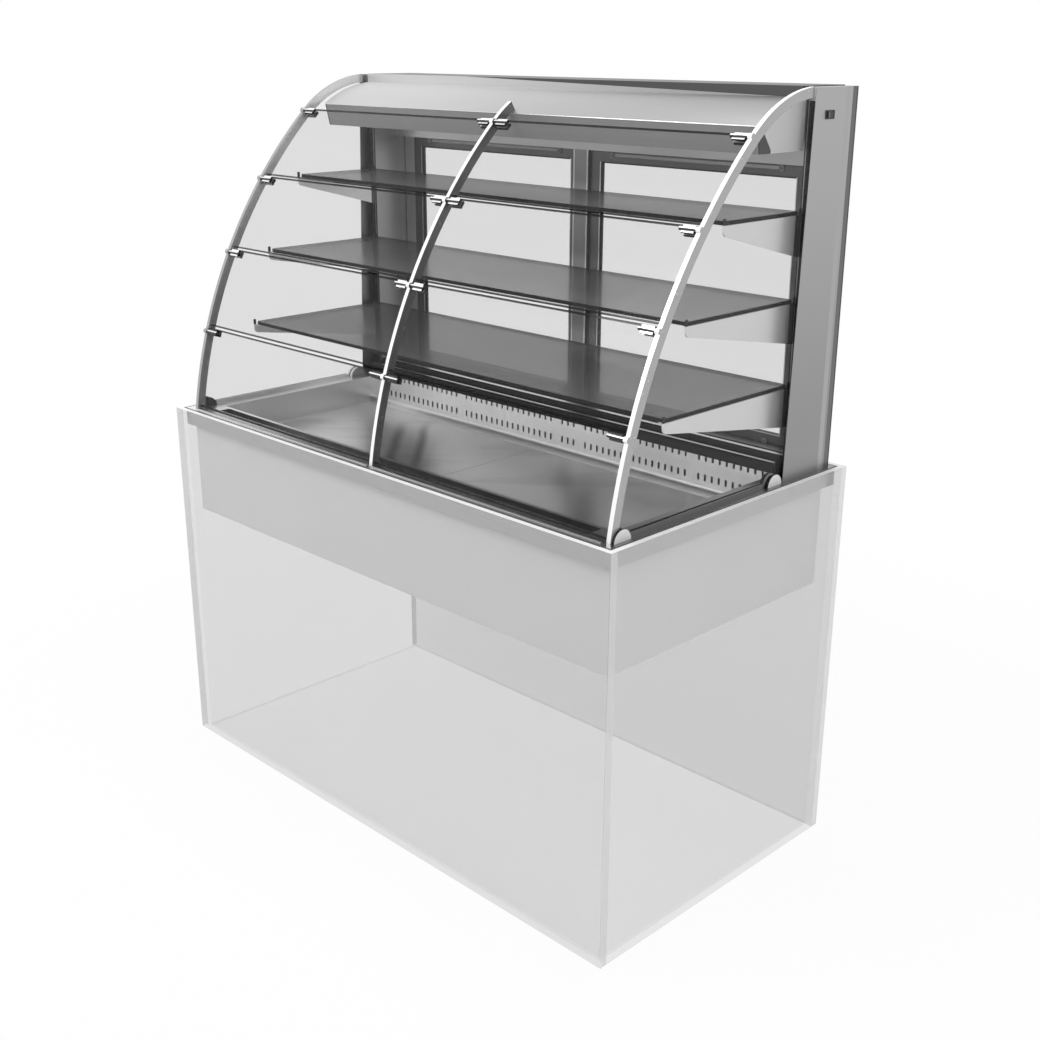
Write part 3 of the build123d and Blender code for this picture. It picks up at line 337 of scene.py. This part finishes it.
def column_painted_light_tone(paint):
    """Painted light and shade: gray outer face painted lighter toward the top, with a painted highlight strip
    near the rear and a dark rear edge; front face in painted shade, darker on the right column, lighter at
    the cap.
    """
    x, y, z = paint.where("XYZ")
    facing_y = paint.facing("Y")
    # painted light: the outer face gets lighter toward the top
    face = z.ramp(COLUMN_FOOT_Z, COLUMN_TOP_Z) * 0.12 + 0.3
    # painted highlight: a lighter strip near the rear of the outer face
    side = y.above(COLUMN_FOLD_Y).choose(0.16, y.between(*COLUMN_HIGHLIGHT_STRIP_Y).choose(0.4, face))
    outer = facing_y.above(0.5).choose(0.42, y.above(COLUMN_REAR_Y).choose(0.07, side))
    # painted shade on the front face, darker on the right column than on the left
    front = z.above(COLUMN_CAP_Z).choose(0.5, x.below(0).choose(0.17, 0.1))
    return facing_y.below(-0.5).choose(front, outer)


UPRIGHT_MIDDLE_X = 0.676
UPRIGHT_LINE_HALF = 1.2 * MM


def upright_painted_shade_tone(paint):
    """Painted shade: a dark strip, with a lighter line down the middle."""
    line = (paint.where("X").size() - UPRIGHT_MIDDLE_X).size().below(UPRIGHT_LINE_HALF)
    return line.choose(0.4, 0.06)


SHELF_LEVEL = 1.0922
SHELF_STEP = 0.178
NIB_HEIGHT = 13.5 * MM
HOOK_Y = 0.214


def bracket_tone(paint):
    """Light sheet, dark at the hook end and on the nibs above the shelf line."""
    y, z = paint.where("YZ")
    nib = (z - SHELF_LEVEL).remainder(SHELF_STEP).below(NIB_HEIGHT)
    return nib.choose(0.03, y.above(HOOK_Y).choose(0.09, 0.88))


RIM_HALF = 0.75
RIDGE_Z = 0.9005
RIDGE_Y = -0.33
SKIRT_X = 0.712
SKIRT_Y = -0.367


def rim_painted_reflection_tone(paint):
    """Painted reflections: the sheet is painted dark on the right and the front and lighter to the left;
    light outer skirt.
    """
    x, y, z = paint.where("XYZ")
    facing_x, facing_y = paint.facing("XY")
    # painted reflection: the tone runs from dark on the right to light on the left
    across = x.ramp(RIM_HALF, -RIM_HALF)
    ridge = z.above(RIDGE_Z) * y.below(RIDGE_Y)
    side = x.size().above(SKIRT_X) * facing_x.size()
    skirt = (side + y.below(SKIRT_Y) * facing_y.size()).above(0.5)
    return skirt.choose(0.62, ridge.choose(0.5, across * 0.6 + 0.26))


SILL_NOSE_Y = 0.2
SILL_VALLEY_Y = (0.209, 0.232)


def sill_painted_light_tone(paint):
    """Painted light and shade: dark nose and valley in painted shade, level steps painted light, and the
    upright ones behind them painted dark.
    """
    y = paint.where("Y")
    # painted light: faces toward the front dark, level faces light
    step = paint.facing("Y").below(-0.4).choose(0.03, 0.72)
    return y.below(SILL_NOSE_Y).choose(0.03, y.between(*SILL_VALLEY_Y).choose(0.1, step))


AIR_PANEL_HIGHLIGHT_STRIP_Z = 0.893
AIR_PANEL_FOOT_Z = (0.83, 0.86)


def grille_painted_highlight_tone(paint):
    """Light panel, a little darker at its foot, with its upper strip painted bright as a painted highlight.
    """
    z = paint.where("Z")
    return z.above(AIR_PANEL_HIGHLIGHT_STRIP_Z).choose(1.0, z.ramp(*AIR_PANEL_FOOT_Z) * 0.1 + 0.88)


PAINTED_REFLECTION_TWIN_ACROSS = ((-0.323, 0.034), (-0.233, 0.03))
PAINTED_REFLECTION_TWIN_DEPTH = 0.2
PAINTED_REFLECTION_PATCH_ACROSS = 0.25
PAINTED_REFLECTION_PATCH_DEPTH = -0.15


def deck_painted_reflection_tone(paint):
    """Brushed plate, painted darker to the right, with soft painted dark reflections running diagonally near
    its middle.
    """
    x, y = paint.where("XY")
    # painted reflections: two soft dark diagonal bands and a patch
    across = x + y + paint.noise(9.0, 2) * 0.016
    depth = y - x
    first, second = ((across - middle).size().ramp(half, 0) for middle, half in PAINTED_REFLECTION_TWIN_ACROSS)
    painted_reflection_twin = first.larger(second) * (depth - PAINTED_REFLECTION_TWIN_DEPTH).size().ramp(0.38, 0.12)
    painted_reflection_patch = (across - PAINTED_REFLECTION_PATCH_ACROSS).size().ramp(0.06, 0) * (depth - PAINTED_REFLECTION_PATCH_DEPTH).size().ramp(0.28, 0.05) * 0.5
    cloud = paint.noise(1.0, 3, (9, 3, 1), turn=45)
    # painted shade: the plate gets darker toward the right
    painted_darkening_rightward = x.ramp(-0.66, 0.6) * -0.5 + 0.9
    return (painted_reflection_twin.larger(painted_reflection_patch) * -0.62 + 1) * (cloud.ramp(0.5, 0.34) * -0.18 + 1) * painted_darkening_rightward


STILE_X = (0.057, 0.601)
DOOR_PANE_Z = (0.957, 1.509)
HIGHLIGHT_BEAD_WIDTH = 2.2 * MM
DOOR_STEP_WIDTH = 30 * MM


def door_highlight_tone(paint):
    """Light bars with a darker step toward the pane and a painted highlight line along it; dark side faces.
    """
    x, z = paint.where("XZ")
    stile = (x.size() - STILE_X[1]).larger(STILE_X[0] - x.size())
    cross_bar = (z - DOOR_PANE_Z[1]).larger(DOOR_PANE_Z[0] - z)
    away = stile.larger(cross_bar)
    # painted highlight: a bright line along the edge at the pane
    front = away.below(HIGHLIGHT_BEAD_WIDTH).choose(0.95, away.below(DOOR_STEP_WIDTH).choose(0.16, 0.62))
    return paint.facing("Y").size().above(0.5).choose(front, 0.05)


POST_HIGHLIGHT_X = 0.021
POST_HIGHLIGHT_HALF = 1.4 * MM


def post_painted_highlight_tone(paint):
    """Dark strip with painted highlight lines near its long edges."""
    return (paint.where("X").size() - POST_HIGHLIGHT_X).size().below(POST_HIGHLIGHT_HALF).choose(0.8, 0.3)


RIGHT_RIB_HIGHLIGHT_X = 0.7102
LEFT_RIB_PAINTED_LIGHT_Z = (1.15, 1.62)


def rib_painted_light_tone(paint):
    """Painted light: a painted highlight line up the right rib and the middle one, gray sides, the middle
    one's sides in painted shade; the left one painted lighter toward the top.
    """
    x, z = paint.where("XZ")
    side = paint.facing("X").size().above(0.5)
    # painted highlight up the front of the right rib
    right = side.choose(0.42, x.above(RIGHT_RIB_HIGHLIGHT_X).choose(0.42, 1.0))
    # painted light: the left rib's sides get lighter toward the top
    left = side.choose(z.ramp(*LEFT_RIB_PAINTED_LIGHT_Z) * 0.45 + 0.3, 0.4)
    # painted shade on the middle rib's sides
    middle = side.choose(0.16, 1.0)
    return x.below(-0.5).choose(left, x.above(0.5).choose(right, middle))


def clip_painted_light_tone(paint):
    """Painted light: bright where it faces up and a little forward, painted shade elsewhere."""
    facing_y, facing_z = paint.facing("YZ")
    return (facing_z * 0.9 - facing_y * 0.44).above(0.8).choose(1.0, 0.06)


CLAMP_INSIDE_X = 0.69


def clamp_painted_light_tone(paint):
    """Plates with painted light and shade: rims painted black on the right and light on the left, and black
    inner ones in front.
    """
    x, y = paint.where("XY")
    face = paint.facing("X").size().above(0.5)
    inner = x.size().below(CLAMP_INSIDE_X) * y.below(0)
    # painted light and shade: the right side's rims dark, the left side's light
    outer = x.above(0).choose(face.choose(0.8, 0.01), face.choose(0.4, 0.9))
    return inner.choose(0.02, outer)


END_PLATE_SHADE_CORNER_Y = 0.118
END_PLATE_SLOPE = -1.3
END_PLATE_FOOT = 1.733


def end_plate_painted_shade_tone(paint):
    """Light gray plate with a painted shade corner at the front foot."""
    y, z = paint.where("YZ")
    painted_shade_corner = y.below(END_PLATE_SHADE_CORNER_Y) * (z - y * END_PLATE_SLOPE).below(END_PLATE_FOOT)
    return painted_shade_corner.choose(0.05, 0.78)


def housing_tone(paint):
    """Lighter underside."""
    return paint.facing("Z").below(-0.5).choose(0.6, 0.3)


# the finish of every node: by its material slot, or its own
finishes = {
    "ghost_panel": ghost_board("ghost_panel", 0.2),
    "casing_skin": satin("casing_skin", 0.92, 0.5),
    "foam": satin("foam", 0.75, 0.8, grain=420),
    "stainless": brushed("stainless", 0.36, 0.36),
    "end_plate": satin("end_plate", end_plate_painted_shade_tone, 0.4),
    "coil_fins": satin("coil_fins", 0.6, 0.35, 1.0),
    "dark_plastic": satin("dark_plastic", 0.03, 0.5),
    "motor_can": satin("motor_can", 0.08, 0.4),
    "drain_plastic": satin("drain_plastic", 0.7, 0.4),
    "upright_steel": brushed("upright_steel", upright_painted_shade_tone, 0.34, "z"),
    "post_steel": brushed("post_steel", post_painted_highlight_tone, 0.36, "z"),
    "door_profile": brushed("door_profile", door_highlight_tone, 0.38, "z", 0.1),
    "door_pane": pane("door_pane", edge_across("Y"), tint=0.3, cover=0.11, slanted=0.1, edge_tint=0.12,
                      edge_cover=0.3),
    "glide_plastic": satin("glide_plastic", 0.6, 0.35),
    "lamp_glass": satin("lamp_glass", 0.9, 0.2),
    "rib_steel": satin("rib_steel", rib_painted_light_tone, 0.25, 0.4, 60, 0.08),
    "clear_glass": pane("clear_pane", edge_across("X"), tint=0.14, cover=0.085, slanted=0.2, edge_tint=0.25,
                        edge_cover=0.3),
    "tinted_glass": pane("tinted_glass", edge_across("Z"), tint=0.15, cover=0.62, slanted=0.2, edge_tint=0.0,
                         edge_cover=0.6, rough=0.2, gloss=0.2),
    "rocker_black": satin("rocker_black", 0.02, 0.3),
    "clip_steel": satin("clip_steel", clip_painted_light_tone, 0.25, 0.7, 60, 0.08),
}
own_finishes = {
    "counter_base_board": ghost_board("counter_base", 0.1),
    "counter_side_panels": ghost_board("counter_side", 0.15, 0.5),
    "canopy_shell": brushed("canopy_sheet", canopy_painted_reflection_tone, 0.4, "x", 0.08),
    "left_column": brushed("column_sheet", column_painted_light_tone, 0.42, "z", 0.1),
    "shelf_brackets": satin("bracket_sheet", bracket_tone, 0.4, 0.6),
    "rim_frame": brushed("rim_sheet", rim_painted_reflection_tone, 0.3, "x", 0.16),
    "rear_sill": brushed("sill_sheet", sill_painted_light_tone, 0.34, "x", 0.2),
    "rear_header": brushed("header_sheet", 0.55, 0.36, "x", 0.12),
    "air_grille": brushed("air_panel_sheet", grille_painted_highlight_tone, 0.4, "x", 0.14),
    "left_deck_plate": brushed("deck_sheet", deck_painted_reflection_tone, 0.32, "y", 0.3),
    "lamp_housing": satin("lamp_housing_sheet", housing_tone, 0.4, 0.3),
    "glass_clamps": satin("clamp_plate", clamp_painted_light_tone, 0.4, 0.2, 300, 0.3),
}
own_finishes["right_column"] = own_finishes["left_column"]
own_finishes["right_deck_plate"] = own_finishes["left_deck_plate"]
for row in ("top", "upper", "lower", "bottom"):
    flap_pane = pane(f"flap_pane_{row}", flap_edge(row), tint=0.12, cover=0.075, slanted=0.2, edge_tint=0.0,
                     edge_cover=0.66, gloss=0.25)
    for side in ("left", "right"):
        own_finishes[f"flap_glass_{side}_{row}"] = flap_pane
for part in frame["record"]["subparts"]:
    slots = nodes[part["node"]].data.materials
    slots.clear()
    slots.append(own_finishes.get(part["node"], finishes[part["material_slot"]]))


# small pieces that the CAD model leaves out, among them a strip of painted shade
def finish_piece(form, name, body, finish):
    """Turn a bmesh into a finished piece that rides on a body."""
    bmesh.ops.recalc_face_normals(form, faces=form.faces)
    mesh = bpy.data.meshes.new(name)
    form.to_mesh(mesh)
    form.free()
    for face in mesh.polygons:
        face.use_smooth = True
    mesh.materials.append(finish)
    piece = bpy.data.objects.new(name, mesh)
    scene.collection.objects.link(piece)
    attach(piece, body)


def long_bar(x_low, x_high, y, z, half_y, half_z, round_off):
    """Bar along X with rounded edges."""
    form = bmesh.new()
    made = bmesh.ops.create_cube(form, size=1)["verts"]
    bmesh.ops.scale(form, vec=(x_high - x_low, 2 * half_y, 2 * half_z), verts=made)
    bmesh.ops.translate(form, vec=((x_low + x_high) / 2, y, z), verts=made)
    bmesh.ops.bevel(form, geom=form.edges[:], offset=round_off, segments=3, profile=0.5, affect="EDGES",
                    material=-1)
    return form


def round_bar(x_low, x_high, y, z, radius):
    """Round bar along X with rounded ends."""
    form = bmesh.new()
    made = bmesh.ops.create_cone(form, cap_ends=True, segments=24, radius1=radius, radius2=radius,
                                 depth=x_high - x_low)["verts"]
    bmesh.ops.rotate(form, cent=(0, 0, 0), matrix=Matrix.Rotation(radians(90), 3, "Y"), verts=made)
    bmesh.ops.translate(form, vec=((x_low + x_high) / 2, y, z), verts=made)
    ends = [edge for edge in form.edges if abs(edge.verts[0].co.x - edge.verts[1].co.x) < radius / 100]
    bmesh.ops.bevel(form, geom=ends, offset=radius * 0.4, segments=2, profile=0.5, affect="EDGES",
                    material=-1)
    return form


# rolled hem along the canopy's lip
HEM_HALF = 0.6705
HEM_PLACE = (0.0735, 1.6249)
HEM_RADIUS = 1.6 * MM
finish_piece(round_bar(-HEM_HALF, HEM_HALF, *HEM_PLACE, HEM_RADIUS), "canopy_hem", "cabinet",
             satin("hem_steel", 0.85, 0.25, 0.9))

# guide rail between the upper glides of each door, its flat white tone a painted highlight, with a dark strip
# of painted shade under it
RAIL_Z = 1.5285
RAIL_HALF = (1.0 * MM, 3.6 * MM)
RAIL_END_GAP = 14 * MM
SHADE_STRIP_Z = 1.5105
SHADE_STRIP_HALF = (0.5 * MM, 1.5 * MM)
SHADE_STRIP_END_GAP = 69 * MM
# painted highlight: the rail gets a flat white tone
rail_highlight_finish = satin("rail_painted_highlight", 1.0, 0.4)
# painted shade: a dark strip under the rail
shade_strip_finish = satin("door_shade_strip", 0.05, 0.6)
for side in ("left", "right"):
    frame_low, frame_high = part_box(f"{side}_door_frame")
    glide_low, glide_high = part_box(f"{side}_door_rollers")
    rail = long_bar(glide_low[0] + RAIL_END_GAP, glide_high[0] - RAIL_END_GAP, glide_high[1] - RAIL_HALF[0],
                    RAIL_Z, *RAIL_HALF, 0.8 * MM)
    finish_piece(rail, f"{side}_door_rail", f"{side}_door", rail_highlight_finish)
    shade_strip = long_bar(frame_low[0] + SHADE_STRIP_END_GAP, frame_high[0] - SHADE_STRIP_END_GAP, glide_high[1] - SHADE_STRIP_HALF[0],
                    SHADE_STRIP_Z, *SHADE_STRIP_HALF, 0.3 * MM)
    finish_piece(shade_strip, f"{side}_door_shade_strip", f"{side}_door", shade_strip_finish)

# floor, sky and lamps
FLOOR_HALF = 14
FLOOR_GAP = 2 * MM
FLOOR_WHITE = 0.94
FLOOR_FADE = (1.0, 2.6)
SKY_LIGHT = 0.55


def make_floor():
    """Pale floor that shows white, less the object's soft shadow."""
    form = bmesh.new()
    bmesh.ops.create_grid(form, x_segments=1, y_segments=1, size=FLOOR_HALF)
    bmesh.ops.translate(form, verts=form.verts, vec=(0, 0, -FLOOR_GAP))
    mesh = bpy.data.meshes.new("floor")
    form.to_mesh(mesh)
    form.free()
    floor = bpy.data.objects.new("floor", mesh)
    scene.collection.objects.link(floor)
    paint = Paint("floor")
    paint.set(Base_Color=gray(0.9), Roughness=0.9)
    x, y = paint.where("XY")
    white = x.size().larger(y.size()).ramp(*FLOOR_FADE) * (1 - FLOOR_WHITE) + FLOOR_WHITE
    glow = paint.node("ShaderNodeEmission", {}, {"Color": gray(1.0), "Strength": 1.0})
    lit = Value(paint, paint.shader.outputs[0])
    both = paint.node("ShaderNodeMixShader", {}, {0: paint.seen() * white, 1: lit, 2: glow})
    paint.feed(paint.out.inputs["Surface"], both)
    mesh.materials.append(paint.material)


def make_sky():
    """White to look at, dimmer as a light."""
    world = bpy.data.worlds.new("sky")
    world.use_nodes = True
    scene.world = world
    sky = Nodes(world.node_tree)
    back = sky.tree.nodes["Background"]
    sky.feed(back.inputs["Color"], gray(1.0))
    sky.feed(back.inputs["Strength"], sky.seen() * (1 - SKY_LIGHT) + SKY_LIGHT)


def lamp(name, place, aim, size, power):
    """Soft square lamp, in metres and watts."""
    data = bpy.data.lights.new(name, "AREA")
    data.shape = "RECTANGLE"
    data.size, data.size_y = size
    data.energy = power
    made = bpy.data.objects.new(name, data)
    made.location = place
    made.rotation_euler = (Vector(aim) - Vector(place)).to_track_quat("-Z", "Y").to_euler()
    scene.collection.objects.link(made)


make_floor()
make_sky()
lamp("key_lamp", (-1.6, -3.4, 4.2), (0, 0, 1.1), (2.4, 2.4), 95)
lamp("fill_lamp", (4.2, -0.6, 2.6), (0, 0, 1.0), (2.0, 2.0), 30)
lamp("top_lamp", (0.0, 0.4, 4.6), (0, 0, 1.0), (2.6, 1.6), 45)
